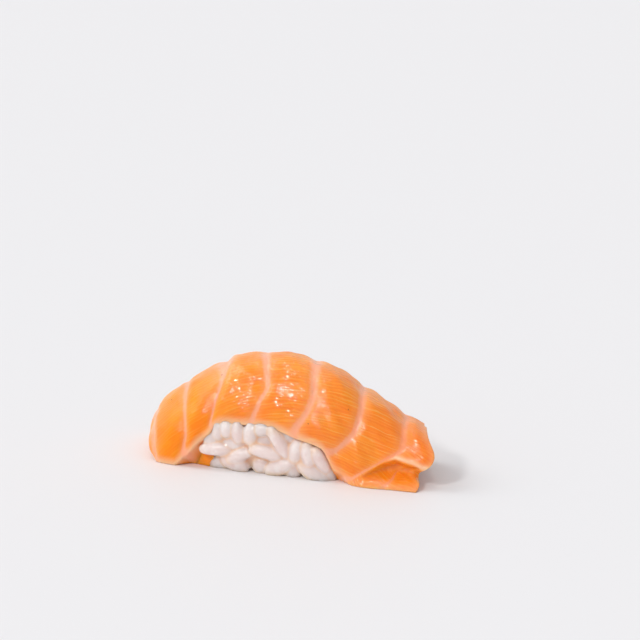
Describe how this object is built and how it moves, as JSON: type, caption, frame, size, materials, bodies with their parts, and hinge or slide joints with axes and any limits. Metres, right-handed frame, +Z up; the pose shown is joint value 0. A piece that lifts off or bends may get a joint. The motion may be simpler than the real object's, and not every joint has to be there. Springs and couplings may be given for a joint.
{
  "type": "salmon nigiri",
  "caption": "Piece of nigiri sushi: a slice of raw salmon with pale fat lines, draped over a pressed block of cooked rice.",
  "frame": {"origin": "middle of the rice block's flat underside, on the table", "axes": "+X along the piece to the end whose front corner spreads on the table, +Y to the back, +Z up"},
  "size_m": [0.0776, 0.0271, 0.0265],
  "materials": {
    "cooked_rice": "moist, translucent, sticky grains",
    "salmon_flesh": "wet, translucent, finely fibred"
  },
  "bodies": {
    "root": {"rice": "cooked_rice", "salmon": "salmon_flesh"}
  },
  "joints": []
}
